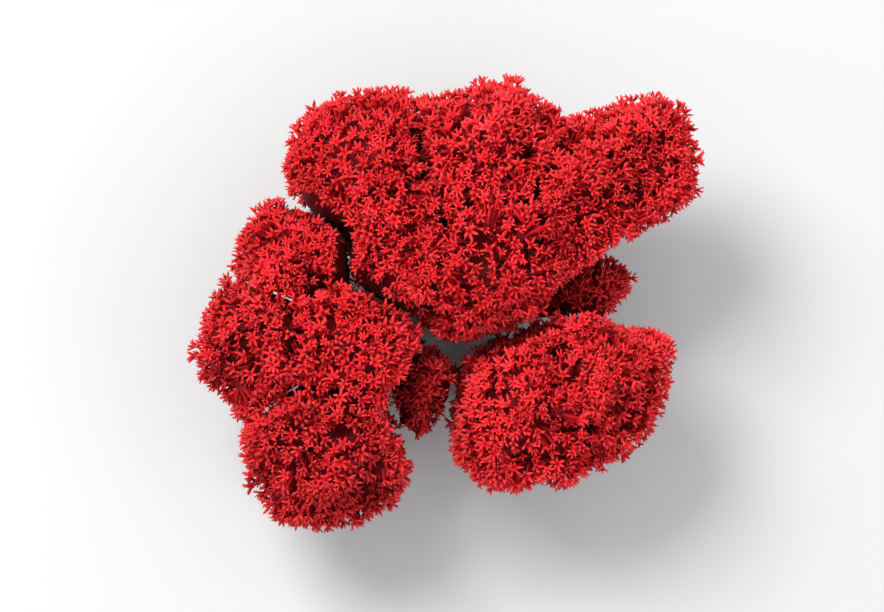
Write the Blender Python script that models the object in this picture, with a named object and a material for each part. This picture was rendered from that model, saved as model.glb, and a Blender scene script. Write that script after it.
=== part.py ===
"""A clump of dyed reindeer moss (Cladonia stellaris) as it is picked: fourteen rounded heads grown
together, each a tuft of stems that forks over and over and closes into a dome of three-pointed twigs.

Metres, +Z up. The origin lies on the ground under the middle of the clump. Every stem ends in a
flat cut foot at Z = 0, so the clump stands on its stem ends.
"""

import math
import random

import bmesh
import bpy
import numpy as np
from mathutils import Matrix, Vector
from mathutils.kdtree import KDTree

MM = 0.001

# Driving dimensions, in millimetres. First the clump and its heads.
GROUND_SHARE = 0.52  # how close together the heads stand at the ground, against the height below
CELL_HEIGHT = 30.0  # the height at which the heads have the places listed in HEADS
GAP = 0.34  # left between two neighbouring heads
FULLNESS = 1.06  # how much wider than its cell a head would grow, so that neighbours press together
MERGING = 3.0  # how softly the heads of one cushion run into each other
PARTING = 1.6  # how much deeper the crease between two cushions is
PARTING_WIDTH = 2.6  # how far that crease reaches up the cushions
SWELLING_ROOM = 6.0  # how far heads that merge may carry each other beyond their own outlines
LUMPINESS = 0.10  # unevenness of a head, as a share of its radius
LUMP_SIZE = 0.42  # distance between lumps, as a share of the radius
HEAD_FOOT = 7.5  # the height at which a head's underside gathers into its stems
HEAD_POINT = 1.5  # how far the middle of the underside hangs below that
CROWN_RISE = 0.98  # height of the crown over the widest ring, as a share of the radius
WIDEST = 0.1  # how far the widest ring lies under the crown's middle, as a share of the girth
SWELLING_RISE = 0.55  # how steeply a swelling's direction rises
MIDDLE = (0.387, 1.447)  # middle of the finished clump's outline, which comes to stand on the origin

# The twigs and the core that carries them.
CORE_DEPTH = 3.9  # how far the solid core lies under the twig tips
CORE_MARGIN = 2.4  # between the core and a neighbouring head, where twigs stand between them
HIDDEN_SHARE = 0.70  # where a neighbour cuts a head off below this share of its reach, no twig shows
OPEN_SHARE = 0.88  # above this share the head is free
UNDERSIDE = -0.82  # cosine, from the head's axis, below which only stems grow
SPACING_TOP = 4.0  # between the roots of neighbouring twigs on the dome
SPACING_SIDE = 4.8  # the same on the outer sides
SPACING_HIDDEN = 6.0  # between the corners of the core where heads press together
SPACING_STEM = 3.2  # between those corners and a stem
DOME = 0.35  # cosine, from the head's axis, that parts the dome from the sides
TWIG_ROOM = 1.3  # least room between core and tips for a twig
CAP_SIZE = 0.62  # radius of the fork from which the three points of a twig spread
CAP_MOST = 0.8  # most that radius may be of the room inside the twig's base
CAP_LEVEL = (0.50, 0.60)  # where that fork lies between the core and the tips
FORK_LIFT = 0.55  # how far the middle of the fork rises
LIFT_MOST = 0.4  # most of the way to the tips that it may rise
TIP_LEVEL = (0.86, 1.0)  # where the points end between the core and the outline
TIP_SPREAD = (0.46, 0.62)  # how far the points lean towards the corners of the twig's base

# The stems.
STEM_TILT = 156.0  # degrees from the head's axis to where a stem joins the head
STEM_REACH = 0.30  # radians round a stem that are kept free of twigs
STEM_FLARE = 1.25  # how much wider a stem is where it runs into the core
STEM_TOP = 1.5  # stem radius where it joins the head
STEM_FOOT = 0.95  # stem radius at the cut foot
STEM_SPREAD = 2.9  # from the middle of the stems' feet to each of them
STEM_BEND = 0.45  # where along a stem it bends
STEM_BOW = 1.1  # how far it bows out there
STEM_TAPER = 1.6  # how soon it has thinned to its foot's radius
STEM_TURN = 0.7  # turns the stems under all heads, as a share of the angle between two stems
STEM_SIDES = 5
STEM_RINGS = 3
SIDE_TWIG = 1.7  # length of the stalk of a twig on a stem
SIDE_POINT = 1.9  # length of that twig's two points
SIDE_SPLAY = 0.8  # how far the points lean apart
SIDE_THINNING = 0.5  # share of the stem face's width that the stalk keeps
SIDE_RISE = 0.75  # how steeply it rises
SIDE_OUTWARD = 0.55  # least cosine between a stem's face that bears one and the way out of the tuft
SIDE_ROOM = 1.0  # least distance between such a twig and the next head's cell
SIDE_LOWEST = 2.5  # least height above the ground

SURVEY = 2600  # directions in which each head is measured
HALVINGS = 12  # steps of the search along each of them
SEED_WAVES = 3
SEED = 23

# One head a row: name, X, Y, height of the top, radius, stems, tone, cushion.
HEADS = [
    ("head_01", -28.6, -5.2, 35.5, 10.4, 3, "dull", "left"),
    ("head_02", -14.4, -4.8, 38.5, 11.0, 3, "red", "left"),
    ("head_03", -18.6, -21.8, 35.5, 12.8, 3, "dull", "left"),
    ("head_04", -22.6, 9.0, 37.0, 9.6, 2, "red", "left"),
    ("head_05", -13.6, 21.8, 40.0, 11.8, 3, "red", "top"),
    ("head_06", -7.2, 8.6, 39.0, 10.0, 2, "red", "top"),
    ("head_07", 5.4, 23.2, 41.5, 12.0, 3, "bright", "top"),
    ("head_08", 4.8, 6.2, 39.5, 10.8, 3, "red", "top"),
    ("head_09", 17.6, 14.6, 40.0, 10.2, 2, "red", "top"),
    ("head_10", 29.4, 23.8, 38.5, 9.8, 2, "bright", "top"),
    ("head_11", 12.8, -16.0, 35.5, 12.2, 3, "bright", "right"),
    ("head_12", 25.0, -10.4, 36.5, 12.0, 3, "bright", "right"),
    ("head_13", -3.0, -13.6, 28.0, 7.6, 2, "dull", "low"),
    ("head_14", 26.2, 4.6, 29.0, 7.4, 2, "dull", "low"),
]

# Smaller swellings that make a head uneven: head, azimuth in degrees, how far out and how large,
# both as a share of the head's radius.
SWELLINGS = [
    ("head_01", 200, 0.48, 0.55),
    ("head_02", 30, 0.39, 0.58),
    ("head_03", 170, 0.55, 0.60),
    ("head_03", 350, 0.48, 0.62),
    ("head_04", 150, 0.41, 0.58),
    ("head_05", 140, 0.43, 0.58),
    ("head_05", 300, 0.45, 0.56),
    ("head_07", 60, 0.44, 0.60),
    ("head_07", 170, 0.41, 0.55),
    ("head_08", 240, 0.35, 0.58),
    ("head_09", 10, 0.41, 0.60),
    ("head_10", 40, 0.43, 0.58),
    ("head_11", 250, 0.47, 0.60),
    ("head_11", 150, 0.35, 0.58),
    ("head_12", 330, 0.43, 0.62),
]

# A head's outline: distance from its axis as a share of its girth, and height as a share of the way
# down to the foot (below 0) or up to the widest ring (above 0).
OUTLINE = [(0.40, -1.0), (0.72, -0.5), (0.93, 0.2), (1.0, 1.0)]

TONES = {
    "bright": (0.62, 0.030, 0.036),
    "red": (0.52, 0.022, 0.028),
    "dull": (0.44, 0.026, 0.030),
}


def scale_at(z):
    """The clump narrows towards the ground: the share of its full width at height z."""
    return GROUND_SHARE + (1.0 - GROUND_SHARE) * z / CELL_HEIGHT


def unit(rows):
    return rows / np.linalg.norm(rows, axis=-1, keepdims=True)


def spiral(count):
    """Directions spread evenly over a sphere, one a row."""
    i = np.arange(count)
    turn = math.pi * (3.0 - math.sqrt(5.0)) * i
    z = 1.0 - (2.0 * i + 1.0) / count
    r = np.sqrt(1.0 - z * z)
    return np.stack([r * np.cos(turn), r * np.sin(turn), z], axis=1)


def waviness(points, size, seed):
    """Smooth waves between about -1 and 1 that vary over the given length."""
    rng = np.random.default_rng(seed)
    runs = unit(rng.normal(size=(9, 3))) * rng.uniform(0.7, 1.5, (9, 1)) * (math.pi / (1.1 * size))
    return np.sin(points @ runs.T + rng.uniform(0.0, 2.0 * math.pi, 9)).sum(-1) / 4.5


class Head:
    """One head's outline about its centre, and its cell among its neighbours."""

    def __init__(self, row):
        self.name, x, y, self.top, self.radius, self.stems, self.tone, self.cushion = row
        self.site = np.array((x, y))
        self.centre = self.axis_point(0.5 * self.top)
        self.foot = self.axis_point(0.0)
        self.crown = self.axis_point(self.top - self.radius)
        self.up = unit(self.crown - self.foot)
        others = [r for r in HEADS if r[0] != self.name]
        sites = np.array([r[1:3] for r in others])
        radii = np.array([r[4] for r in others])
        apart = np.linalg.norm(sites - self.site, axis=1)
        self.normals = (sites - self.site) / apart[:, None]
        squares = (sites**2).sum(1) - (self.site**2).sum() + self.radius**2 - radii**2
        self.distances = squares / (2.0 * apart)
        girth = FULLNESS * self.radius
        crown = self.crown - self.centre
        self.balls = [(crown - self.up * (girth - self.radius), girth)]
        for name, azimuth, share, swelling in SWELLINGS:
            if name == self.name:
                turn = math.radians(azimuth)
                out = unit(np.array((math.cos(turn), math.sin(turn), SWELLING_RISE)))
                self.balls.append((crown + out * share * self.radius, swelling * self.radius))
        widest = crown @ self.up - WIDEST * girth
        low = HEAD_FOOT - self.centre[2]
        self.outline = [(0.0, low - HEAD_POINT)]
        for share, height in OUTLINE:
            self.outline.append((share * girth, -height * low if height < 0.0 else height * widest))
        self.outline.append((0.0, widest + CROWN_RISE * self.radius))

    def axis_point(self, z):
        return np.array((*(self.site * scale_at(z)), z))

    def room(self, ways, margin=0.5 * GAP):
        """How far each ray from the centre runs before it comes within a margin of a neighbour."""
        slope = (1.0 - GROUND_SHARE) / CELL_HEIGHT
        start = self.distances * scale_at(self.centre[2]) - self.normals @ self.centre[:2]
        start = start - margin * np.sqrt(1.0 + (self.distances * slope) ** 2)
        closing = ways[..., :2] @ self.normals.T - slope * self.distances * ways[..., 2:3]
        return np.where(closing > 1e-6, start / np.maximum(closing, 1e-6), 1e6).min(-1)

    def profile(self, ways):
        """How far the head would reach with no neighbours: its turned outline and its swellings."""
        z = ways @ self.up
        r = np.sqrt(np.maximum(0.0, 1.0 - z * z))
        reach = np.zeros(z.shape)
        for (r0, z0), (r1, z1) in zip(self.outline, self.outline[1:]):
            # Where the ray (r, z) * t crosses the outline's segment.
            dr, dz = r1 - r0, z1 - z0
            across = r * dz - z * dr
            across = np.where(np.abs(across) < 1e-9, 1e-9, across)
            s = (z * r0 - r * z0) / across
            t = (r0 * dz - z0 * dr) / across
            met = (s >= -1e-6) & (s <= 1.0 + 1e-6) & (t > 0.0)
            reach = np.where(met, np.maximum(reach, t), reach)
        for offset, radius in self.balls:
            b = ways @ offset
            inside = b * b - offset @ offset + radius * radius
            reach = np.maximum(reach, np.where(inside > 0.0, b + np.sqrt(np.abs(inside)), 0.0))
        return reach * (1.0 + LUMPINESS * waviness(ways + self.centre, LUMP_SIZE, SEED_WAVES))

    def survey(self, clump):
        """Measure the head in directions all round: to the outline, and to the core under it."""
        ways = spiral(SURVEY)
        self.tree = KDTree(SURVEY)
        for i, way in enumerate(ways):
            self.tree.insert(way, i)
        self.tree.balance()
        self.reach = reaches(ways, self, clump, 0.0)
        self.inner = reaches(ways, self, clump, CORE_DEPTH)

    def measured(self, values, way):
        """A surveyed value in one direction, from the directions nearest to it."""
        near = self.tree.find_n(way, 4)
        weights = [1.0 / (distance * distance + 1e-5) for _, _, distance in near]
        return float(sum(w * values[i] for w, (_, i, _) in zip(weights, near)) / sum(weights))

    def tip_reach(self, way):
        return min(self.measured(self.reach, way), float(self.room(np.array(way))))

    def core_reach(self, way):
        free = self.measured(self.reach, way)
        limit = float(self.room(np.array(way)))
        # Two cores that press together meet face to face; twigs need room only near the surface.
        share = (limit / free - HIDDEN_SHARE) / (OPEN_SHARE - HIDDEN_SHARE)
        return min(self.measured(self.inner, way), limit - CORE_MARGIN * max(0.0, min(1.0, share)))

    def crowded(self, way):
        """True where a neighbour presses against the head and no twig has room or would be seen."""
        return float(self.room(np.array(way))) < HIDDEN_SHARE * self.measured(self.reach, way)


def kept_clear(spot, head, margin):
    """A spot moved, if it has to be, to lie at least a margin inside the head's own cell."""
    spot = np.array(spot)
    for _ in range(4):
        clear = head.distances * scale_at(spot[2]) - head.normals @ spot[:2]
        nearest = clear.argmin()
        spot[:2] -= head.normals[nearest] * max(0.0, margin - clear[nearest])
    return Vector(spot)


def outside(points, head, clump):
    """How far points lie outside the grown-together clump, seen from one head; negative inside."""
    own, others = [], []
    for other in clump:
        if np.linalg.norm(other.site - head.site) > head.radius + other.radius + SWELLING_ROOM:
            continue
        away = points - other.centre
        far = np.linalg.norm(away, axis=-1)
        depth = far - other.profile(away / np.maximum(far, 1e-6)[:, None])
        (own if other.cushion == head.cushion else others).append(depth)
    merged = -MERGING * np.log(np.exp(-np.array(own) / MERGING).sum(0))
    if others:
        lead = np.maximum(0.0, np.array(others).min(0) - merged)
        merged = merged + PARTING * np.exp(-lead / PARTING_WIDTH)
    return merged


def reaches(ways, head, clump, depth):
    """How far each ray runs before it comes within a depth of the clump's outline."""
    low, high = np.zeros(len(ways)), head.profile(ways) + SWELLING_ROOM
    for _ in range(HALVINGS):
        middle = 0.5 * (low + high)
        inside = outside(head.centre + ways * middle[:, None], head, clump) < -depth
        low, high = np.where(inside, middle, low), np.where(inside, high, middle)
    return low


def stem_rings(head):
    """For each stem the way to its top, a way across it, and a ring of ways round its top."""
    up = Vector(head.up)
    tilt = math.radians(STEM_TILT)
    rings = []
    for k in range(head.stems):
        angle = 2.0 * math.pi * (k + STEM_TURN + head.radius) / head.stems
        around = Matrix.Rotation(angle, 3, up) @ up.orthogonal().normalized()
        middle = (up * math.cos(tilt) + around * math.sin(tilt)).normalized()
        width = STEM_FLARE * STEM_TOP / head.tip_reach(middle)
        across = middle.orthogonal().normalized()
        ring = [(middle + way * width).normalized() for way in circle(across, middle)]
        rings.append((middle, across, ring))
    return rings


def circle(across, along):
    """The directions of a stem's corners about its run."""
    first = (across - along * across.dot(along)).normalized()
    second = along.cross(first)
    turns = [2.0 * math.pi * i / STEM_SIDES for i in range(STEM_SIDES)]
    return [first * math.cos(t) + second * math.sin(t) for t in turns]


def core_directions(head, rings, rng):
    """Corners of the core: scattered closely on the dome, widely where heads press together."""
    up, centre = Vector(head.up), Vector(head.centre)
    taken = [(centre + d * head.tip_reach(d), 0.0, d) for _, _, ring in rings for d in ring]
    candidates = [(Vector(way), float(reach)) for way, reach in zip(spiral(SURVEY), head.reach)]
    rng.shuffle(candidates)
    for way, reach in candidates:
        height = way.dot(up)
        if head.crowded(way) or height < UNDERSIDE:
            spacing = SPACING_HIDDEN
        elif height > DOME:
            spacing = SPACING_TOP
        else:
            spacing = SPACING_SIDE
        if any(way.angle(middle) < STEM_REACH for middle, _, _ in rings):
            continue
        point = centre + way * reach
        if all((point - q).length > (max(spacing, s) if s else SPACING_STEM) for q, s, _ in taken):
            taken.append((point, spacing, way))
    return [way for _, _, way in taken]


def grow_stem(bm, face, order, head, middle, across):
    """Draw a stem out of the head's underside, down to its flat cut foot on the ground."""
    sides = []
    up = Vector(head.up)
    start = face.calc_center_median()
    lean = middle - up * middle.dot(up)
    lean.z = 0.0
    end = Vector(head.foot) * MM + lean.normalized() * STEM_SPREAD * MM
    bend = start.lerp(end, STEM_BEND) + lean * STEM_BOW * MM
    for ring in range(1, STEM_RINGS + 1):
        t = ring / STEM_RINGS
        spot = start.lerp(bend, t).lerp(bend.lerp(end, t), t) / MM
        along = (bend.lerp(end, t) - start.lerp(bend, t)).normalized()
        radius = STEM_TOP + (STEM_FOOT - STEM_TOP) * min(1.0, STEM_TAPER * t)
        spot = kept_clear(spot, head, radius + GAP)
        if ring == STEM_RINGS:
            along = Vector((0.0, 0.0, -1.0))
        face = bmesh.ops.extrude_discrete_faces(bm, faces=[face])["faces"][0]
        if 1 < ring < STEM_RINGS:
            sides += [f for edge in face.edges for f in edge.link_faces if f is not face]
        ways = circle(across, along)
        for vertex, i in zip(face.verts, order):
            vertex.co = (spot + ways[i] * radius) * MM
    return sides


def grow_side_twigs(bm, sides, head, rng):
    """Forks of two points on the outer sides of the stems."""
    foot, crown = Vector(head.foot), Vector(head.crown)
    chosen = []
    for face in sides:
        spot = face.calc_center_median()
        away = spot / MM - foot.lerp(crown, spot.z / MM / crown.z)
        away.z = 0.0
        way = (face.normal + Vector((0.0, 0.0, SIDE_RISE))).normalized()
        end = np.array(spot / MM + way * (SIDE_TWIG + SIDE_POINT))
        clear = (head.distances * scale_at(end[2]) - head.normals @ end[:2]).min()
        outward = face.normal.dot(away.normalized()) > SIDE_OUTWARD
        if outward and clear > SIDE_ROOM and spot.z > SIDE_LOWEST * MM:
            chosen.append((face, spot, way))
    rng.shuffle(chosen)
    chosen = chosen[: head.stems]
    caps = bmesh.ops.extrude_discrete_faces(bm, faces=[c[0] for c in chosen])["faces"]
    for cap, (_, spot, way) in zip(caps, chosen):
        for vertex in cap.verts:
            vertex.co = spot + way * SIDE_TWIG * MM + (vertex.co - spot) * SIDE_THINNING
    middles = {v: (cap.calc_center_median(), c[2]) for cap, c in zip(caps, chosen) for v in cap.verts}
    halves = bmesh.ops.triangulate(bm, faces=caps)["faces"]
    ends = []
    for half in halves:
        middle, way = middles[half.verts[0]]
        spot = half.calc_center_median()
        way = way + (spot - middle).normalized() * SIDE_SPLAY
        ends.append(spot + way.normalized() * SIDE_POINT * MM)
    tips = bmesh.ops.poke(bm, faces=halves)["verts"]
    for vertex, end in zip(tips, ends):
        vertex.co = end


def between(head, base, way, share):
    """How far out along a ray the given share of the way from the core's face to the tips lies."""
    flat = (base[1] - base[0]).cross(base[2] - base[0])
    inner = flat.dot(base[0]) / flat.dot(way)
    return inner + share * (head.tip_reach(way) * MM - inner)


def grow_twigs(bm, faces, head, rng):
    """Draw each face out into a stalk that ends in a fork of three points."""
    centre = Vector(head.centre) * MM
    bases = [[v.co - centre for v in face.verts] for face in faces]
    caps = bmesh.ops.extrude_discrete_faces(bm, faces=faces)["faces"]
    walls = {f for cap in caps for edge in cap.edges for f in edge.link_faces if f not in caps}
    corners = {}
    for cap, base in zip(caps, bases):
        middle = sum(base, Vector()) / 3.0
        direction = middle.normalized()
        level = rng.uniform(*CAP_LEVEL)
        inradius = min(((base[i] + base[i - 1]) * 0.5 - middle).length for i in range(3))
        size = min(CAP_SIZE * MM, CAP_MOST * inradius)
        for i, vertex in enumerate(cap.verts):
            # Turned by a sixth, so that the points lean out over the corners of the base.
            edge = (base[i] + base[(i + 1) % 3]) * 0.5
            out = edge - direction * edge.dot(direction)
            way = (middle + out.normalized() * size).normalized()
            vertex.co = centre + way * between(head, base, way, level)
        for i in range(3):
            pair = frozenset((cap.verts[i], cap.verts[(i + 1) % 3]))
            corners[pair] = base[(i + 1) % 3]
    bmesh.ops.triangulate(bm, faces=list(walls), quad_method="SHORT_EDGE")
    poked = bmesh.ops.poke(bm, faces=caps)
    owners = dict(zip(poked["verts"], bases))
    for vertex, base in owners.items():
        spot = vertex.co - centre
        room = between(head, base, spot.normalized(), 1.0) - spot.length
        vertex.co += spot.normalized() * min(FORK_LIFT * MM, LIFT_MOST * room)
    points = list(poked["faces"])
    targets = []
    for face in points:
        hub = next(v for v in face.verts if v in owners)
        base = owners[hub]
        middle = sum(base, Vector()) / 3.0
        corner = corners[frozenset(v for v in face.verts if v is not hub)]
        lean = rng.uniform(*TIP_SPREAD)
        way = middle.normalized().lerp(corner.normalized(), lean).normalized()
        targets.append(centre + way * between(head, base, way, rng.uniform(*TIP_LEVEL)))
    tips = bmesh.ops.poke(bm, faces=points)["verts"]
    for vertex, target in zip(tips, targets):
        vertex.co = target


def bears_twig(face, head, stem_corners):
    """Whether a face of the core has room for a twig that would be seen."""
    if len(face.verts) != 3 or all(v in stem_corners for v in face.verts):
        return False
    centre = Vector(head.centre)
    middle = (face.calc_center_median() / MM - centre).normalized()
    room = head.tip_reach(middle) - head.core_reach(middle)
    if room < TWIG_ROOM or middle.dot(Vector(head.up)) < UNDERSIDE:
        return False
    ways = [(v.co / MM - centre).normalized() for v in face.verts] + [middle]
    return sum(head.crowded(way) for way in ways) < 3


def build_head(head, rng):
    rings = stem_rings(head)
    bm = bmesh.new()
    for way in core_directions(head, rings, rng):
        bm.verts.new(way)
    bmesh.ops.convex_hull(bm, input=bm.verts)
    bm.verts.ensure_lookup_table()
    tops = []
    for k in range(len(rings)):
        ring = bm.verts[k * STEM_SIDES : (k + 1) * STEM_SIDES]
        inner = [f for f in bm.faces if all(v in ring for v in f.verts)]
        top = bmesh.ops.dissolve_faces(bm, faces=inner)["region"][0]
        tops.append((top, [ring.index(v) for v in top.verts]))
    for vertex in bm.verts:
        way = vertex.co.normalized()
        vertex.co = (Vector(head.centre) + way * head.core_reach(way)) * MM
    bmesh.ops.recalc_face_normals(bm, faces=bm.faces)
    stem_corners = {v for top, _ in tops for v in top.verts}
    twigs = [face for face in bm.faces if bears_twig(face, head, stem_corners)]
    sides = []
    for (top, order), (middle, across, _) in zip(tops, rings):
        sides += grow_stem(bm, top, order, head, middle, across)
    bm.normal_update()
    grow_side_twigs(bm, sides, head, rng)
    grow_twigs(bm, twigs, head, rng)
    bmesh.ops.triangulate(bm, faces=[f for f in bm.faces if len(f.verts) > 3])
    bmesh.ops.recalc_face_normals(bm, faces=bm.faces)
    mesh = bpy.data.meshes.new(head.name)
    bm.to_mesh(mesh)
    bm.free()
    mesh.materials.append(tone_material(head.tone))
    item = bpy.data.objects.new(head.name, mesh)
    item.location = (-MIDDLE[0] * MM, -MIDDLE[1] * MM, 0.0)
    bpy.context.collection.objects.link(item)


def tone_material(tone):
    name = "lichen_" + tone
    if name in bpy.data.materials:
        return bpy.data.materials[name]
    material = bpy.data.materials.new(name)
    material.use_nodes = True
    shader = material.node_tree.nodes["Principled BSDF"]
    shader.inputs["Base Color"].default_value = (*TONES[tone], 1.0)
    shader.inputs["Roughness"].default_value = 0.75
    return material


def main():
    for item in list(bpy.data.objects):
        bpy.data.objects.remove(item, do_unlink=True)
    rng = random.Random(SEED)
    clump = [Head(row) for row in HEADS]
    for head in clump:
        head.survey(clump)
        build_head(head, rng)


main()
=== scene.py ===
import math
from types import SimpleNamespace

import bmesh
import bpy
import numpy as np
from mathutils import Matrix, Vector


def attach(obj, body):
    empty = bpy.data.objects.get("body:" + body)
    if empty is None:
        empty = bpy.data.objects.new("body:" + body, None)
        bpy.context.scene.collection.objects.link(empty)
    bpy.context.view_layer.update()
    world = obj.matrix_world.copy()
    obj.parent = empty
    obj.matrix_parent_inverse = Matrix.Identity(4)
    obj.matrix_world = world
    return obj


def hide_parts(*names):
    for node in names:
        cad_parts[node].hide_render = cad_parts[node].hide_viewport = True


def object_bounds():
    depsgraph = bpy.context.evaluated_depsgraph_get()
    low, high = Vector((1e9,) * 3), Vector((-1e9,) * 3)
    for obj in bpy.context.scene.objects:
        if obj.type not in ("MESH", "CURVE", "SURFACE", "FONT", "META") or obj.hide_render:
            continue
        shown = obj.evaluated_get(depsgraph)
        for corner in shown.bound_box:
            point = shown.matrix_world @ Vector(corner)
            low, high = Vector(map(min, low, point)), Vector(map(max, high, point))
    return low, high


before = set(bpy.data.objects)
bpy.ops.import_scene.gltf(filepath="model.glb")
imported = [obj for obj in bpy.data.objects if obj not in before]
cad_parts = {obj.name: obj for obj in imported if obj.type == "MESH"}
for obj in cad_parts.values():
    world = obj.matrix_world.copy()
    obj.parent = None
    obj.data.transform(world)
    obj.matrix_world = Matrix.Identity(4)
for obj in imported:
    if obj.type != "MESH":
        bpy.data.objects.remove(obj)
cad_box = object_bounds()

# Millimetres from here on; a finished mesh is scaled to metres in one place.
MM = 0.001

# The clump's form, as the solids have it. The heads of one cushion have grown together.
GROUND_SHARE = 0.52  # how close together the heads stand at the ground, against the height below
CELL_HEIGHT = 30.0  # the height at which the heads have the places listed in HEADS
GAP = 0.34  # left between two neighbouring heads
FULLNESS = 1.06  # how much wider than its cell a head would grow
MERGING = 3.0  # how softly the heads of one cushion run into each other
PARTING = 1.6  # how much deeper the crease between two cushions is
PARTING_WIDTH = 2.6  # how far that crease reaches up the cushions
SWELLING_ROOM = 6.0  # how far heads that merge may carry each other beyond their own outlines
LUMPINESS = 0.10  # unevenness of a head, as a share of its radius
LUMP_SIZE = 0.42  # distance between lumps, as a share of the radius
HEAD_FOOT = 7.5  # the height at which a head's underside gathers into its stems
HEAD_POINT = 1.5  # how far the middle of the underside hangs below that
CROWN_RISE = 0.98  # height of the crown over the widest ring, as a share of the radius
WIDEST = 0.1  # how far the widest ring lies under the crown's middle, as a share of the girth
SWELLING_RISE = 0.55  # how steeply a swelling's direction rises
MIDDLE = np.array((0.387, 1.447, 0.0))  # middle of the clump's outline, which stands on the origin
HALVINGS = 12  # steps of the search for the outline
SEED_WAVES = 3

# One head a row: name, X, Y, height of the top, radius, stems, tone, cushion.
HEADS = [
    ("head_01", -28.6, -5.2, 35.5, 10.4, 3, "dull", "left"),
    ("head_02", -14.4, -4.8, 38.5, 11.0, 3, "red", "left"),
    ("head_03", -18.6, -21.8, 35.5, 12.8, 3, "dull", "left"),
    ("head_04", -22.6, 9.0, 37.0, 9.6, 2, "red", "left"),
    ("head_05", -13.6, 21.8, 40.0, 11.8, 3, "red", "top"),
    ("head_06", -7.2, 8.6, 39.0, 10.0, 2, "red", "top"),
    ("head_07", 5.4, 23.2, 41.5, 12.0, 3, "bright", "top"),
    ("head_08", 4.8, 6.2, 39.5, 10.8, 3, "red", "top"),
    ("head_09", 17.6, 14.6, 40.0, 10.2, 2, "red", "top"),
    ("head_10", 29.4, 23.8, 38.5, 9.8, 2, "bright", "top"),
    ("head_11", 12.8, -16.0, 35.5, 12.2, 3, "bright", "right"),
    ("head_12", 25.0, -10.4, 36.5, 12.0, 3, "bright", "right"),
    ("head_13", -3.0, -13.6, 28.0, 7.6, 2, "dull", "low"),
    ("head_14", 26.2, 4.6, 29.0, 7.4, 2, "dull", "low"),
]

# Smaller swellings that make a head uneven: head, azimuth in degrees, how far out and how large,
# both as a share of the head's radius.
SWELLINGS = [
    ("head_01", 200, 0.48, 0.55),
    ("head_02", 30, 0.39, 0.58),
    ("head_03", 170, 0.55, 0.60),
    ("head_03", 350, 0.48, 0.62),
    ("head_04", 150, 0.41, 0.58),
    ("head_05", 140, 0.43, 0.58),
    ("head_05", 300, 0.45, 0.56),
    ("head_07", 60, 0.44, 0.60),
    ("head_07", 170, 0.41, 0.55),
    ("head_08", 240, 0.35, 0.58),
    ("head_09", 10, 0.41, 0.60),
    ("head_10", 40, 0.43, 0.58),
    ("head_11", 250, 0.47, 0.60),
    ("head_11", 150, 0.35, 0.58),
    ("head_12", 330, 0.43, 0.62),
]

# A head's outline: distance from its axis as a share of its girth, and height as a share of the way
# down to the foot (below 0) or up to the widest ring (above 0).
OUTLINE = [(0.40, -1.0), (0.72, -0.5), (0.93, 0.2), (1.0, 1.0)]

# The fine branching.
TUFT_PITCH = 4.6  # between the middles of neighbouring tufts of branches
TUFT_ROOT = 5.2  # how far under the outline a tuft's branches fan out from one point
TUFT_FALL = 0.14  # how fast a tuft's surface falls off from its middle
TUFT_FAN = 0.50  # how far a whorl faces away from its tuft's root rather than off the head
UNEVENNESS = (0.45, 4.2)  # depth and distance of the dents in a head's surface
WHORL_SIZE = (0.78, 1.42)
WHORL_PITCH = 1.20  # between whorls of the middle size at the surface
WHORL_DEPTH = (0.75, 1.45)  # how far the middle of such a whorl lies under the outline
INNER_PITCH = 1.48  # the same for the whorls under them
INNER_DEPTH = (1.9, 3.3)
UNDERSIDE = -0.45  # cosine, from the head's axis, below which the branching is old and loose
UNDERSIDE_PITCH = 1.55  # how much wider apart the whorls are there
CORE_DEPTH = 4.2  # past this the tangle is too dense to see into
CORE_ROUGHNESS = (0.6, 1.1)  # depth and distance of the core's dents
WALL_DEPTH = 2.2  # how far the core keeps off the cell's side where no neighbour covers that
COVERED = 7.0  # a side that lies deeper than this inside a neighbour can't be seen
CREASE = 1.5  # past this depth in a crease the branching is old and loose too
CORE_GAP = 0.10  # least distance of the core from the cell's side
CANDIDATES = 9000  # directions in which places for whorls are sought
PROBE = 0.4  # over which the surface's slope is measured
SIZE_SKEW = 1.2  # makes small whorls commoner than large ones
CLEARANCE = 0.45  # share of a surface whorl's pitch that inner whorls keep from it
FALL_MOST = 1.3  # most that a tuft's surface falls off
BULGE_MOST = 0.35  # most that an uneven head bulges
FAN_SPREAD = 0.16  # how far whorls stray from the way they should face
TONE_PATCH = 5.0  # distance between patches of fresher dye
TONE_SPREAD = 0.16  # how far a whorl's tone strays from its patch's
DEPTH_SHADING = 0.14  # painted shade: share of its light that a whorl loses with each millimetre of depth
FULL_LIGHT = 1.12  # what it would have with no depth, before it is cut off at 1
# The darkest that this painted shade makes a whorl.
DIMMEST = 0.6
TWIG_START = 0.15  # how far the feet of a tuft's twigs are scattered
TWIG_SINK = 0.12  # how far a twig's end is sunk into its whorl
TWIG_FOOT = (0.30, 0.38)  # radius of a twig where it starts
TWIG_END = (0.19, 0.25)  # the same under its whorl
TWIG_LIT = 0.40  # painted shade: how lit a twig's end is, as a share of its whorl's; its foot gets the full painted deep shade
LIVING_HEIGHT = 16.0  # above this the lichen is young
OLD_HEIGHT = 2.0  # below this it is at its oldest
TONE_SEED, DENT_SEED, CORE_SEED = 37, 11, 3
SEED = 5

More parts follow.
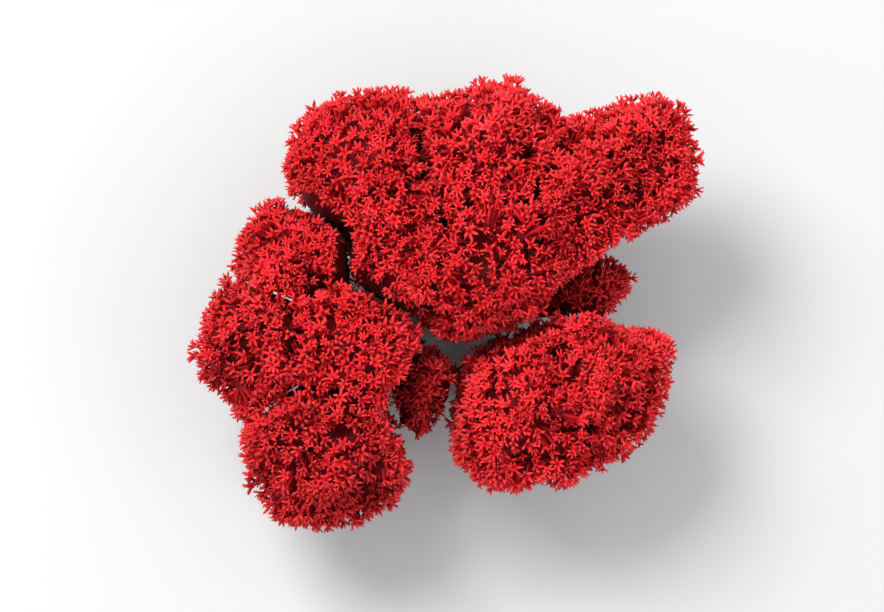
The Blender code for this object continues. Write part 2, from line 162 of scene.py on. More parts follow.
# A whorl, in its own size.
WHORLS = [(5, 42), (4, 36), (6, 48), (5, 34), (4, 45), (5, 50), (3, 30), (6, 40)]  # arms, degrees
HUB_ROOT = 0.15  # radius of the hub below
HUB_RIM = 0.30  # radius of its open top
HUB_DEPTH = 0.36
CUP_DEPTH = 0.26
ARM_STRAY = 13.0  # degrees by which an arm leans more or less than it should
ARM_SWING = 0.32  # radians by which it turns aside
ARM_LENGTH = (0.42, 0.84)
ARM_THICKNESS = (0.105, 0.135)  # half its width at the fork
ARM_FLATNESS = 0.85
FORKED = 0.78  # share of the arms that end in two points
POINT_SPLAY = (0.75, 1.20)
POINT_LENGTH = (0.30, 0.50)
# How lit, from 0 to 1, the whorl's parts are; this sets their painted shade. The cup is 0, in the full
# painted deep shade, and the points are 1.
ROOT_LIT, RIM_LIT, FORK_LIT = 0.30, 0.46, 0.78

# The stems, as the solids have them, and the short branches that they keep.
STEM_TILT = 156.0  # degrees from the head's axis to where a stem joins the head
STEM_START = 3.9  # how far under the outline it starts
STEM_ROOM = 1.0  # least depth of its start inside the head's cell
STEM_TOP = 1.5  # radius where it joins the head
STEM_FOOT = 0.95  # radius at the cut foot
STEM_SPREAD = 2.9  # from the middle of the stems' feet to each of them
STEM_BEND = 0.45  # where along a stem it bends
STEM_BOW = 1.1  # how far it bows out there
STEM_TURN = 0.7  # turns the stems under all heads, as a share of the angle between two stems
STEM_AGE = 1.15
STEM_LIT = (0.22, 0.20)  # how lit, as painted shade, at its top and foot
SIDE_COUNT = (16, 22)  # short branches on one stem
SIDE_PLACES = (0.10, 0.90)  # where along it they grow
SIDE_LENGTH = (1.3, 2.9)
SIDE_RISE = 0.55
SIDE_STRAY = 0.15
SIDE_SAG = 0.35
SIDE_RADII = (0.34, 0.17)  # where it leaves the stem and under its whorl
SIDE_SINK = 0.1
SIDE_WHORL = (0.55, 0.95)
SIDE_LIT = (0.25, 0.75)  # how lit, as painted shade, its start and its whorl are
SIDE_ROOM = 0.3  # least depth of its whorl inside the head's cell
SIDE_LOWEST = 1.3  # least height of its whorl

# The colours, as red, green and blue: for each tone the dyed points, the branches darkened by painted
# shade and the old ends; one painted deep shade for all.
DYES_AND_SHADE = {
    "bright": ((0.92, 0.066, 0.072), (0.66, 0.010, 0.015), (0.26, 0.030, 0.016)),
    "red": ((0.88, 0.056, 0.062), (0.60, 0.008, 0.013), (0.22, 0.026, 0.015)),
    "dull": ((0.80, 0.052, 0.056), (0.50, 0.008, 0.012), (0.19, 0.026, 0.015)),
}
# Painted shade: the dark red of the tangle's depths, the cups and the twigs' feet.
PAINTED_DEEP_SHADE = (0.11, 0.0012, 0.0024)

# The studio, in metres and watts.
FLOOR_COLOUR = (0.410, 0.408, 0.405, 1.0)
FLOOR_HALF = 1.5
SKY_COLOUR = (0.95, 0.97, 1.0, 1.0)
SKY_STRENGTH = 1.20
KEY = ((-0.34, 0.30, 0.55), 0.30, 7.8)  # place, size, power
FILL = ((0.50, -0.35, 0.45), 0.50, 1.2)
LENS = 180.0
CAMERA_DISTANCE = 0.66
CAMERA_TILT = 9.0  # degrees from straight down
CAMERA_TOWARD = (-308.0, -140.0)  # pixels from the clump to the photograph's middle, right and up


def scale_at(z):
    """The clump narrows towards the ground: the share of its full width at height z."""
    return GROUND_SHARE + (1.0 - GROUND_SHARE) * z / CELL_HEIGHT


def unit(rows):
    return rows / np.linalg.norm(rows, axis=-1, keepdims=True)


def spiral(count):
    """Directions spread evenly over a sphere, one a row."""
    i = np.arange(count)
    turn = math.pi * (3.0 - math.sqrt(5.0)) * i
    z = 1.0 - (2.0 * i + 1.0) / count
    r = np.sqrt(1.0 - z * z)
    return np.stack([r * np.cos(turn), r * np.sin(turn), z], axis=1)


def waviness(points, size, seed):
    """Smooth waves between about -1 and 1 that vary over the given length."""
    rng = np.random.default_rng(seed)
    runs = unit(rng.normal(size=(9, 3))) * rng.uniform(0.7, 1.5, (9, 1)) * (math.pi / (1.1 * size))
    return np.sin(points @ runs.T + rng.uniform(0.0, 2.0 * math.pi, 9)).sum(-1) / 4.5


class Head:
    """One head's outline about its centre, and its cell among its neighbours."""

    def __init__(self, row):
        self.name, x, y, self.top, self.radius, self.stems, self.tone, self.cushion = row
        self.site = np.array((x, y))
        self.centre = self.axis_point(0.5 * self.top)
        self.foot = self.axis_point(0.0)
        self.crown = self.axis_point(self.top - self.radius)
        self.up = unit(self.crown - self.foot)
        others = [r for r in HEADS if r[0] != self.name]
        sites = np.array([r[1:3] for r in others])
        radii = np.array([r[4] for r in others])
        apart = np.linalg.norm(sites - self.site, axis=1)
        self.normals = (sites - self.site) / apart[:, None]
        squares = (sites**2).sum(1) - (self.site**2).sum() + self.radius**2 - radii**2
        self.distances = squares / (2.0 * apart)
        girth = FULLNESS * self.radius
        crown = self.crown - self.centre
        self.balls = [(crown - self.up * (girth - self.radius), girth)]
        for name, azimuth, share, swelling in SWELLINGS:
            if name == self.name:
                turn = math.radians(azimuth)
                out = unit(np.array((math.cos(turn), math.sin(turn), SWELLING_RISE)))
                self.balls.append((crown + out * share * self.radius, swelling * self.radius))
        widest = crown @ self.up - WIDEST * girth
        low = HEAD_FOOT - self.centre[2]
        self.outline = [(0.0, low - HEAD_POINT)]
        for share, height in OUTLINE:
            self.outline.append((share * girth, -height * low if height < 0.0 else height * widest))
        self.outline.append((0.0, widest + CROWN_RISE * self.radius))

    def axis_point(self, z):
        return np.array((*(self.site * scale_at(z)), z))

    def room(self, ways, margin=0.5 * GAP):
        """How far each ray from the centre runs before it comes within a margin of a neighbour."""
        slope = (1.0 - GROUND_SHARE) / CELL_HEIGHT
        start = self.distances * scale_at(self.centre[2]) - self.normals @ self.centre[:2]
        start = start - margin * np.sqrt(1.0 + (self.distances * slope) ** 2)
        closing = ways[..., :2] @ self.normals.T - slope * self.distances * ways[..., 2:3]
        return np.where(closing > 1e-6, start / np.maximum(closing, 1e-6), 1e6).min(-1)

    def profile(self, ways):
        """How far the head would reach with no neighbours: its turned outline and its swellings."""
        z = ways @ self.up
        r = np.sqrt(np.maximum(0.0, 1.0 - z * z))
        reach = np.zeros(z.shape)
        for (r0, z0), (r1, z1) in zip(self.outline, self.outline[1:]):
            # Where the ray (r, z) * t crosses the outline's segment.
            dr, dz = r1 - r0, z1 - z0
            across = r * dz - z * dr
            across = np.where(np.abs(across) < 1e-9, 1e-9, across)
            s = (z * r0 - r * z0) / across
            t = (r0 * dz - z0 * dr) / across
            met = (s >= -1e-6) & (s <= 1.0 + 1e-6) & (t > 0.0)
            reach = np.where(met, np.maximum(reach, t), reach)
        for offset, radius in self.balls:
            b = ways @ offset
            inside = b * b - offset @ offset + radius * radius
            reach = np.maximum(reach, np.where(inside > 0.0, b + np.sqrt(np.abs(inside)), 0.0))
        return reach * (1.0 + LUMPINESS * waviness(ways + self.centre, LUMP_SIZE, SEED_WAVES))


def outside(points, head, clump):
    """How far points lie outside the grown-together clump, seen from one head; negative inside."""
    own, others = [], []
    for other in clump:
        if np.linalg.norm(other.site - head.site) > head.radius + other.radius + SWELLING_ROOM:
            continue
        away = points - other.centre
        far = np.linalg.norm(away, axis=-1)
        depth = far - other.profile(away / np.maximum(far, 1e-6)[:, None])
        (own if other.cushion == head.cushion else others).append(depth)
    merged = -MERGING * np.log(np.exp(-np.array(own) / MERGING).sum(0))
    if others:
        lead = np.maximum(0.0, np.array(others).min(0) - merged)
        merged = merged + PARTING * np.exp(-lead / PARTING_WIDTH)
    return merged


def reaches(ways, head, clump, depth):
    """How far each ray runs before it comes within a depth of the clump's outline."""
    low, high = np.zeros(len(ways)), head.profile(ways) + SWELLING_ROOM
    for _ in range(HALVINGS):
        middle = 0.5 * (low + high)
        inside = outside(head.centre + ways * middle[:, None], head, clump) < -depth
        low, high = np.where(inside, middle, low), np.where(inside, high, middle)
    return low


def cover(points, head, clump):
    """How deep points lie inside the nearest other head's own outline; negative outside."""
    deepest = np.full(len(points), -1e6)
    for other in clump:
        if other is not head:
            away = points - other.centre
            far = np.linalg.norm(away, axis=-1)
            deepest = np.maximum(deepest, other.profile(away / np.maximum(far, 1e-6)[:, None]) - far)
    return deepest


def skin(ways, head, clump):
    """Points on the head's surface, which way they face, and how deep they lie in a crease."""
    reach = reaches(ways, head, clump, 0.0)
    room = head.room(ways)
    cut = room < reach
    points = head.centre + ways * np.minimum(reach, room)[:, None]
    here = outside(points, head, clump)
    facing = unit(np.stack([outside(points + PROBE * axis, head, clump) - here for axis in np.eye(3)], 1))
    # Where a cell's side cuts the head off, its branches face that side.
    _, side = cell_room(points, head)
    side = unit(np.concatenate([side, np.zeros((len(side), 1))], 1) + 0.5 * facing)
    facing = np.where(cut[:, None], side, facing)
    covered = np.where(cut, cover(points, head, clump), 0.0)
    return points, facing, covered


def scatter(points, pitch, rng, blocked=None):
    """Pick points in random order that keep their own pitch from each other."""
    free = np.ones(len(points), bool) if blocked is None else ~blocked
    picked = []
    for i in rng.permutation(len(points)):
        if free[i]:
            picked.append(i)
            free &= ((points - points[i]) ** 2).sum(1) > pitch[i] ** 2
    return np.array(picked, int)


class Bundle:
    """Gathers copies of small shapes and makes them into one mesh."""

    def __init__(self):
        self.places, self.corners, self.sides, self.traits, self.count = [], [], [], [], 0

    def add(self, shape, places, traits):
        """places: copies x vertices x 3, in millimetres; traits: copies x vertices x 3."""
        copies, size = places.shape[0], places.shape[1]
        shift = self.count + size * np.arange(copies)
        self.places.append(places.reshape(-1, 3))
        self.traits.append(traits.reshape(-1, 3))
        self.corners.append((shape.corners[None, :] + shift[:, None]).ravel())
        self.sides.append(np.tile(shape.sides, copies))
        self.count += copies * size

    def build(self, name):
        mesh = bpy.data.meshes.new(name)
        places = (np.concatenate(self.places) - MIDDLE) * MM
        corners = np.concatenate(self.corners)
        sides = np.concatenate(self.sides)
        mesh.vertices.add(len(places))
        mesh.vertices.foreach_set("co", places.astype(np.float32).ravel())
        mesh.loops.add(len(corners))
        mesh.loops.foreach_set("vertex_index", corners.astype(np.int32))
        mesh.polygons.add(len(sides))
        starts = np.concatenate([[0], np.cumsum(sides)[:-1]])
        mesh.polygons.foreach_set("loop_start", starts.astype(np.int32))
        mesh.polygons.foreach_set("use_smooth", np.ones(len(sides), bool))
        mesh.update(calc_edges=True)
        growth_and_shade = mesh.attributes.new("growth_and_shade", "FLOAT_VECTOR", "POINT")
        growth_and_shade.data.foreach_set("vector", np.concatenate(self.traits).astype(np.float32).ravel())
        item = bpy.data.objects.new(name, mesh)
        bpy.context.collection.objects.link(item)
        return item


def shape_of(bm, share):
    """A modelled shape as arrays. share holds a value from 0 to 1 for each vertex: along a twig how far
    up it is, in a whorl how lit it is, which sets its painted shade.
    """
    bm.verts.index_update()
    shape = SimpleNamespace(
        places=np.array([v.co for v in bm.verts]),
        share=np.array([v[share] for v in bm.verts]),
        corners=np.array([v.index for f in bm.faces for v in f.verts]),
        sides=np.array([len(f.verts) for f in bm.faces]),
    )
    bm.free()
    return shape


def whorl_shape(rng, branches, spread):
    """A whorl of short branchlets round an open cup, most of them ending in a fork of two points."""
    bm = bmesh.new()
    share = bm.verts.layers.float.new("share")
    hub = bmesh.ops.create_cone(
        bm, cap_ends=True, segments=branches, radius1=HUB_ROOT, radius2=HUB_RIM, depth=HUB_DEPTH
    )
    # Painted shade: the hub is set darker at its root than at its rim.
    for vertex in hub["verts"]:
        vertex[share] = ROOT_LIT if vertex.co.z < 0.0 else RIM_LIT
    arms = [f for f in bm.faces if abs(f.normal.z) < 0.9]
    cup = [f for f in bm.faces if f.normal.z > 0.9]
    # The cup's pushed-down middle gets the full painted deep shade, where the hole would be dark.
    for vertex in bmesh.ops.poke(bm, faces=cup)["verts"]:
        vertex.co.z -= CUP_DEPTH
        vertex[share] = 0.0
    forks = []
    for end in bmesh.ops.extrude_discrete_faces(bm, faces=arms)["faces"]:
        middle = end.calc_center_median()
        out = Vector((middle.x, middle.y, 0.0)).normalized()
        tilt = math.radians(spread + rng.uniform(-ARM_STRAY, ARM_STRAY))
        swing = Matrix.Rotation(rng.uniform(-ARM_SWING, ARM_SWING), 3, "Z")
        way = swing @ (out * math.sin(tilt) + Vector((0.0, 0.0, math.cos(tilt))))
        across = way.cross(Vector((0.0, 0.0, 1.0))).normalized()
        rise = across.cross(way)
        tip = middle + way * rng.uniform(*ARM_LENGTH)
        thick = rng.uniform(*ARM_THICKNESS)
        for vertex in end.verts:
            offset = vertex.co - middle
            wide = math.copysign(thick, offset.dot(across))
            high = math.copysign(ARM_FLATNESS * thick, offset.dot(rise))
            vertex.co = tip + across * wide + rise * high
            vertex[share] = FORK_LIT
        forks.append((end, tip, way))
    for end, tip, way in forks:
        forked = rng.random() < FORKED
        parts = bmesh.ops.triangulate(bm, faces=[end])["faces"] if forked else [end]
        spots = []
        for part in parts:
            off = part.calc_center_median() - tip
            lean = off.normalized() * rng.uniform(*POINT_SPLAY) if forked else Vector()
            spots.append(tip + (way + lean).normalized() * rng.uniform(*POINT_LENGTH))
        for vertex, spot in zip(bmesh.ops.poke(bm, faces=parts)["verts"], spots):
            vertex.co = spot
            vertex[share] = 1.0
    return shape_of(bm, share)


def twig_shape(sides, rings):
    """A straight tube of unit length and radius along Z, bent and tapered later."""
    bm = bmesh.new()
    share = bm.verts.layers.float.new("share")
    bmesh.ops.create_cone(bm, cap_ends=True, segments=sides, radius1=1.0, radius2=1.0, depth=1.0)
    bmesh.ops.translate(bm, verts=bm.verts, vec=(0.0, 0.0, 0.5))
    upright = [e for e in bm.edges if abs(e.verts[0].co.z - e.verts[1].co.z) > 0.5]
    bmesh.ops.subdivide_edges(bm, edges=upright, cuts=rings - 1)
    for vertex in bm.verts:
        vertex[share] = vertex.co.z
    return shape_of(bm, share)


def frames(ways, turns):
    """Two directions square to each way, turned about it."""
    helper = np.where(np.abs(ways[:, 2:3]) > 0.8, np.array((1.0, 0.0, 0.0)), np.array((0.0, 0.0, 1.0)))
    a = unit(np.cross(ways, helper))
    b = np.cross(ways, a)
    c, s = np.cos(turns)[:, None], np.sin(turns)[:, None]
    return a * c + b * s, b * c - a * s


def set_whorls(bundle, shapes, spots, ways, sizes, traits, rng):
    """Copy the whorls to the spots, each facing its own way. traits: how lit, which sets the painted
    shade, tone, age.
    """
    kinds = rng.integers(0, len(shapes), len(spots))
    a, b = frames(ways, rng.uniform(0.0, 2.0 * math.pi, len(spots)))
    for k, shape in enumerate(shapes):
        own = kinds == k
        if not own.any():
            continue
        axes = np.stack([a[own], b[own], ways[own]], axis=1) * sizes[own, None, None]
        places = np.einsum("vi,nij->nvj", shape.places, axes) + spots[own, None, :]
        rows = np.repeat(traits[own, None, :], len(shape.places), axis=1).copy()
        rows[:, :, 0] *= shape.share
        bundle.add(shape, places, rows)


def set_twigs(bundle, shape, starts, bends, ends, thick, traits, cut=False):
    """Bend a tube from each start to each end.

    thick: its radius at both ends; traits: how lit both ends are, which sets their painted shade,
    then tone and age; cut: flat on the ground.
    """
    t = shape.places[:, 2][None, :, None]
    start, bend, end = starts[:, None, :], bends[:, None, :], ends[:, None, :]
    line = start * (1 - t) ** 2 + 2 * bend * t * (1 - t) + end * t**2
    run = unit((bend - start) * (1 - t) + (end - bend) * t)
    a, _ = frames(unit(ends - starts), np.zeros(len(starts)))
    a = unit(a[:, None, :] - run * (a[:, None, :] * run).sum(2, keepdims=True))
    b = np.cross(run, a)
    radius = thick[:, 0:1, None] * (1 - t) + thick[:, 1:2, None] * t
    x, y = shape.places[:, 0][None, :, None], shape.places[:, 1][None, :, None]
    places = line + (a * x + b * y) * radius
    if cut:
        places[:, shape.places[:, 2] > 0.999, 2] = 0.0
    rows = np.empty(places.shape)
    rows[:, :, 0] = traits[:, 0:1] * (1 - t[:, :, 0]) + traits[:, 1:2] * t[:, :, 0]
    rows[:, :, 1] = traits[:, 2:3]
    rows[:, :, 2] = traits[:, 3:4]
    bundle.add(shape, places, rows)


def age_at(points):
    """How old points are: 0 in the living tops, 1 in the old stem ends."""
    return np.clip((LIVING_HEIGHT - points[:, 2]) / (LIVING_HEIGHT - OLD_HEIGHT), 0.0, 1.0)


def near_any(points, chosen, distance):
    """Which points lie within their own distance of a chosen one."""
    near = np.zeros(len(points), bool)
    for i in chosen:
        near |= ((points - points[i]) ** 2).sum(1) < distance[i] ** 2
    return near


def grow_head(head, clump, whorls, twigs, stem, rng):
    """All the branching of one head as one mesh: surface whorls, inner whorls, core and stems."""
    bundle = Bundle()
    ways = spiral(CANDIDATES)
    points, facing, covered = skin(ways, head, clump)
    seen = covered < COVERED
    low = ((ways @ head.up) < UNDERSIDE) | (covered > CREASE)
    tone = 0.5 + 0.5 * waviness(points, TONE_PATCH, TONE_SEED)
    dents = UNEVENNESS[0] * waviness(points, UNEVENNESS[1], DENT_SEED)
    tufts = scatter(points, np.full(len(points), TUFT_PITCH), rng, ~seen)
    roots = points[tufts] - facing[tufts] * TUFT_ROOT

    sizes = rng.uniform(*WHORL_SIZE, len(points)) ** SIZE_SKEW
    pitch = sizes * np.where(low, UNDERSIDE_PITCH, 1.0)
    outer = scatter(points, WHORL_PITCH * pitch, rng, ~seen)
    taken = near_any(points, outer, CLEARANCE * WHORL_PITCH * pitch)
    inner = scatter(points, INNER_PITCH * pitch, rng, ~seen | taken)
    for chosen, depths in ((outer, WHORL_DEPTH), (inner, INNER_DEPTH)):
        count = len(chosen)
        tuft = ((points[chosen][:, None] - points[tufts][None]) ** 2).sum(2).argmin(1)
        fall = TUFT_FALL * ((points[chosen] - points[tufts][tuft]) ** 2).sum(1)
        size = sizes[chosen]
        depth = rng.uniform(*depths, count) * (0.5 + 0.5 * size) + np.minimum(fall, FALL_MOST)
        depth = depth + np.maximum(dents[chosen], -BULGE_MOST)
        spots = points[chosen] - facing[chosen] * depth[:, None]
        fan = unit(spots - roots[tuft])
        lean = rng.normal(0.0, FAN_SPREAD, (count, 3))
        axes = unit(TUFT_FAN * fan + (1.0 - TUFT_FAN) * facing[chosen] + lean)
        # Painted shade: the deeper a whorl lies under the outline, the darker its colour.
        reach = np.clip(FULL_LIGHT - DEPTH_SHADING * depth, DIMMEST, 1.0)
        age = age_at(spots)
        own_tone = np.clip(tone[chosen] + rng.normal(0.0, TONE_SPREAD, count), 0.0, 1.0)
        set_whorls(bundle, whorls, spots, axes, size, np.stack([reach, own_tone, age], 1), rng)
        starts = roots[tuft] + rng.normal(0.0, TWIG_START, (count, 3))
        ends = spots - axes * TWIG_SINK
        half = 0.5 * np.linalg.norm(ends - starts, axis=1)[:, None]
        bends = 0.5 * (starts + unit(fan + 0.5 * lean) * half + ends - axes * half)
        thick = np.stack([rng.uniform(*TWIG_FOOT, count), rng.uniform(*TWIG_END, count)], 1)
        # Painted shade: each twig is darkest at its foot and lighter towards its whorl.
        traits = np.stack([np.zeros(count), TWIG_LIT * reach, own_tone, age], 1)
        set_twigs(bundle, twigs[chosen is inner], starts, bends, ends, thick, traits)

    add_core(bundle, head, clump)
    add_stems(bundle, head, clump, whorls, twigs[0], stem, rng)
    return bundle.build("lichen_" + head.name)


def add_core(bundle, head, clump):
    """The part of the head that is too tangled to see into, as a rough body in the painted deep shade."""
    bm = bmesh.new()
    share = bm.verts.layers.float.new("share")
    bmesh.ops.create_icosphere(bm, subdivisions=5, radius=1.0)
    shape = shape_of(bm, share)
    ways = unit(shape.places)
    reach = reaches(ways, head, clump, CORE_DEPTH)
    points = head.centre + ways * reach[:, None]
    rough = CORE_ROUGHNESS[0] * waviness(points, CORE_ROUGHNESS[1], CORE_SEED)
    room = head.room(ways)
    covered = cover(head.centre + ways * room[:, None], head, clump)
    bare = np.clip(1.0 - covered / (2.0 * CREASE), 0.0, 1.0)
    reach = np.minimum(reach + rough, room - CORE_GAP - bare * (WALL_DEPTH + rough))
    places = head.centre + ways * np.maximum(reach, 1.0)[:, None]
    # The core gets the full painted deep shade.
    traits = np.stack([np.zeros(len(ways)), np.full(len(ways), 0.4), age_at(places)], 1)
    bundle.add(shape, places[None], traits[None])


def cell_room(spots, head):
    """How far spots lie inside the head's own cell, and the way to its nearest side."""
    clear = head.distances * scale_at(spots[:, 2:3]) - spots[:, :2] @ head.normals.T
    nearest = clear.argmin(1)
    return clear[np.arange(len(spots)), nearest], head.normals[nearest]


def kept_clear(spots, head, margins):
    """Spots moved, if they have to be, to lie at least a margin inside the head's own cell."""
    spots = spots.copy()
    for _ in range(4):
        clear, side = cell_room(spots, head)
        spots[:, :2] -= side * np.maximum(0.0, margins - clear)[:, None]
    return spots


def stem_lines(head, clump):
    """Start, bend and foot of each stem, as the solids have them."""
    up = Vector(head.up)
    tilt = math.radians(STEM_TILT)
    lines = []
    for k in range(head.stems):
        angle = 2.0 * math.pi * (k + STEM_TURN + head.radius) / head.stems
        around = Matrix.Rotation(angle, 3, up) @ up.orthogonal().normalized()
        way = np.array((up * math.cos(tilt) + around * math.sin(tilt)).normalized())
        depth = min(reaches(way[None], head, clump, STEM_START)[0], head.room(way[None])[0] - STEM_ROOM)
        start = head.centre + way * depth
        lean = (way - head.up * (way @ head.up)) * (1.0, 1.0, 0.0)
        end = head.foot + unit(lean) * STEM_SPREAD
        bend = start + (end - start) * STEM_BEND + lean * STEM_BOW
        margins = np.array((STEM_TOP, STEM_TOP, STEM_FOOT)) + GAP
        lines.append(kept_clear(np.stack([start, bend, end]), head, margins))
    return lines


def add_stems(bundle, head, clump, whorls, twig, stem, rng):
    """The cut stems under a head, with the short branches that they keep."""
    for start, bend, end in stem_lines(head, clump):
        tone = rng.uniform(0.2, 0.8)
        # The stem's colour is darkened with painted shade.
        row = np.array([[*STEM_LIT, tone, STEM_AGE]])
        thick = np.array([[STEM_TOP, STEM_FOOT]])
        set_twigs(bundle, stem, start[None], bend[None], end[None], thick, row, cut=True)
        count = rng.integers(*SIDE_COUNT)
        t = rng.uniform(*SIDE_PLACES, count)[:, None]
        spots = start * (1 - t) ** 2 + 2 * bend * t * (1 - t) + end * t**2
        run = unit((bend - start) * (1 - t) + (end - bend) * t)
        out, _ = frames(run, rng.uniform(0.0, 2.0 * math.pi, count))
        ways = unit(out + np.array((0.0, 0.0, SIDE_RISE)) + rng.normal(0.0, SIDE_STRAY, (count, 3)))
        ends = spots + ways * rng.uniform(*SIDE_LENGTH, (count, 1)) + out * STEM_FOOT
        kept = (cell_room(ends, head)[0] > SIDE_ROOM) & (ends[:, 2] > SIDE_LOWEST)
        spots, ends, ways = spots[kept], ends[kept], ways[kept]
        if not len(ends):
            continue
        age = age_at(ends)
        tones = rng.uniform(0.2, 0.9, len(ends))
        # Painted shade: the side branches are set darker, most at the stem.
        reach = np.full(len(ends), SIDE_LIT[1])
        size = rng.uniform(*SIDE_WHORL, len(ends))
        set_whorls(bundle, whorls, ends, ways, size, np.stack([reach, tones, age], 1), rng)
        thin = np.tile(SIDE_RADII, (len(ends), 1))
        traits = np.stack([np.full(len(ends), SIDE_LIT[0]), TWIG_LIT * reach, tones, age], 1)
        bends = 0.5 * (spots + ends) - np.array((0.0, 0.0, SIDE_SAG))
        set_twigs(bundle, twig, spots, bends, ends - ways * SIDE_SINK, thin, traits)


def lichen_material(name, tip, body, old):
    """Dyed lichen: bright points, painted shade darkening the colour down the branches and into the
    tangle, faded brown at the old ends.
    """
    material = bpy.data.materials.new(name)
    material.use_nodes = True
    tree = material.node_tree
    shader = tree.nodes["Principled BSDF"]
    look = tree.nodes.new("ShaderNodeGroup")
    look.node_tree = dye_and_shade_group()
    look.inputs["Tip"].default_value = (*tip, 1.0)
    # The branch and deep colours are the dye darkened as painted shade.
    look.inputs["ShadedBody"].default_value = (*body, 1.0)
    look.inputs["PaintedShade"].default_value = (*PAINTED_DEEP_SHADE, 1.0)
    look.inputs["Old"].default_value = (*old, 1.0)
    tree.links.new(look.outputs["Color"], shader.inputs["Base Color"])
    tree.links.new(look.outputs["Roughness"], shader.inputs["Roughness"])
    bump = tree.nodes.new("ShaderNodeBump")
    bump.inputs["Strength"].default_value = 0.35
    bump.inputs["Distance"].default_value = 0.00006
    tree.links.new(look.outputs["Grain"], bump.inputs["Height"])
    tree.links.new(bump.outputs["Normal"], shader.inputs["Normal"])
    shader.inputs["Specular IOR Level"].default_value = 0.06
    shader.inputs["Sheen Weight"].default_value = 0.02
    shader.inputs["Sheen Roughness"].default_value = 0.5
    return material


def dye_and_shade_group():
    """Colour, roughness and grain of the dyed branches; painted shade darkens the colour of each point by
    how lit it is set to be.
    """
    if "lichen dye and shade" in bpy.data.node_groups:
        return bpy.data.node_groups["lichen dye and shade"]
    group = bpy.data.node_groups.new("lichen dye and shade", "ShaderNodeTree")
    for socket in ("Tip", "ShadedBody", "PaintedShade", "Old"):
        group.interface.new_socket(socket, in_out="INPUT", socket_type="NodeSocketColor")
    group.interface.new_socket("Color", in_out="OUTPUT", socket_type="NodeSocketColor")
    group.interface.new_socket("Roughness", in_out="OUTPUT", socket_type="NodeSocketFloat")
    group.interface.new_socket("Grain", in_out="OUTPUT", socket_type="NodeSocketFloat")
    nodes, links = group.nodes, group.links
    given = nodes.new("NodeGroupInput")
    result = nodes.new("NodeGroupOutput")
    growth_and_shade = nodes.new("ShaderNodeAttribute")
    growth_and_shade.attribute_name = "growth_and_shade"
    parts = nodes.new("ShaderNodeSeparateXYZ")
    links.new(growth_and_shade.outputs["Vector"], parts.inputs["Vector"])
    place = nodes.new("ShaderNodeTexCoord")

    def mix(kind, a, b, factor):
        node = nodes.new("ShaderNodeMix")
        node.data_type = "RGBA"
        node.blend_type = kind
        for socket, value in (("A", a), ("B", b), ("Factor", factor)):
            entry = [s for s in node.inputs if s.name == socket and s.enabled][0]
            if isinstance(value, bpy.types.NodeSocket):
                links.new(value, entry)
            else:
                entry.default_value = value
        return [s for s in node.outputs if s.enabled][0]

    def ramp(value, low, high):
        node = nodes.new("ShaderNodeMapRange")
        node.inputs["From Min"].default_value = low
        node.inputs["From Max"].default_value = high
        links.new(value, node.inputs["Value"])
        return node.outputs["Result"]

    def speckle(scale, detail):
        node = nodes.new("ShaderNodeTexNoise")
        node.inputs["Scale"].default_value = scale
        node.inputs["Detail"].default_value = detail
        links.new(place.outputs["Object"], node.inputs["Vector"])
        return node.outputs["Fac"]

    # Painted shade: from the deep shade through the shaded branch colour to the dyed points, by how lit a
    # point is set to be.
    out_of_deep_shade = ramp(parts.outputs["X"], 0.02, 0.40)
    colour = mix("MIX", given.outputs["PaintedShade"], given.outputs["ShadedBody"], out_of_deep_shade)
    colour = mix("MIX", colour, given.outputs["Tip"], ramp(parts.outputs["X"], 0.42, 1.0))
    patches = ramp(speckle(150.0, 3.0), 0.30, 0.70)
    colour = mix("MULTIPLY", colour, (0.72, 0.60, 0.60, 1.0), ramp(parts.outputs["Y"], 0.75, 0.20))
    colour = mix("MULTIPLY", colour, (0.86, 0.80, 0.80, 1.0), patches)
    colour = mix("MIX", colour, given.outputs["Old"], ramp(parts.outputs["Z"], 0.25, 1.3))
    links.new(colour, result.inputs["Color"])
    grain = speckle(4200.0, 2.0)
    links.new(grain, result.inputs["Grain"])
    links.new(ramp(grain, 1.9, -0.4), result.inputs["Roughness"])
    return group


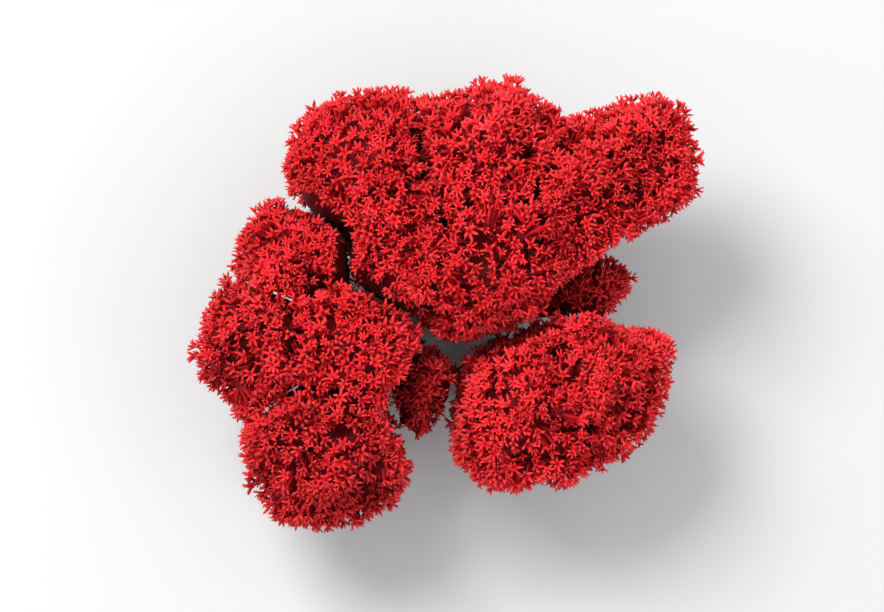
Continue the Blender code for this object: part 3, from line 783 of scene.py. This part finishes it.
def make_floor():
    bm = bmesh.new()
    bmesh.ops.create_grid(bm, x_segments=1, y_segments=1, size=FLOOR_HALF)
    mesh = bpy.data.meshes.new("floor")
    bm.to_mesh(mesh)
    bm.free()
    floor = bpy.data.objects.new("floor", mesh)
    bpy.context.collection.objects.link(floor)
    material = bpy.data.materials.new("pale_floor")
    material.use_nodes = True
    shader = material.node_tree.nodes["Principled BSDF"]
    shader.inputs["Base Color"].default_value = FLOOR_COLOUR
    shader.inputs["Roughness"].default_value = 0.8
    mesh.materials.append(material)


def area_light(name, target, place, size, power):
    light = bpy.data.lights.new(name, "AREA")
    light.size = size
    light.energy = power
    lamp = bpy.data.objects.new(name, light)
    lamp.location = place
    lamp.rotation_euler = (Vector(target) - Vector(place)).to_track_quat("-Z", "Y").to_euler()
    bpy.context.collection.objects.link(lamp)


def make_studio(middle):
    world = bpy.data.worlds.new("studio")
    world.use_nodes = True
    background = world.node_tree.nodes["Background"]
    background.inputs["Color"].default_value = SKY_COLOUR
    background.inputs["Strength"].default_value = SKY_STRENGTH
    bpy.context.scene.world = world
    area_light("key", middle, *KEY)
    area_light("fill", middle, *FILL)
    bpy.context.scene.view_settings.view_transform = "Standard"


def make_camera(middle):
    camera = bpy.data.cameras.new("camera")
    camera.lens = LENS
    item = bpy.data.objects.new("camera", camera)
    tilt = math.radians(CAMERA_TILT)
    toward = Vector((*CAMERA_TOWARD, 0.0)).normalized()
    back = Vector((0.0, 0.0, 1.0)) * math.cos(tilt) + toward * math.sin(tilt)
    right = Vector((0.0, 1.0, 0.0)).cross(back).normalized()
    up = back.cross(right)
    turn = Matrix((right, up, back)).transposed().to_4x4()
    item.matrix_world = Matrix.Translation(middle + back * CAMERA_DISTANCE) @ turn
    bpy.context.collection.objects.link(item)
    bpy.context.scene.camera = item


def main():
    rng = np.random.default_rng(SEED)
    whorls = [whorl_shape(rng, branches, spread) for branches, spread in WHORLS]
    twigs = twig_shape(3, 2), twig_shape(3, 1)
    stem = twig_shape(9, 8)
    materials = {tone: lichen_material("dyed_shaded_" + tone, *dye) for tone, dye in DYES_AND_SHADE.items()}
    clump = [Head(row) for row in HEADS]
    for head in clump:
        piece = grow_head(head, clump, whorls, twigs, stem, rng)
        piece.data.materials.append(materials[head.tone])
        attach(piece, "root")
        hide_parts(head.name)
    make_floor()
    middle = Vector((0.0, 0.0, 0.5 * cad_box[1][2]))
    make_studio(middle)
    make_camera(middle)


main()
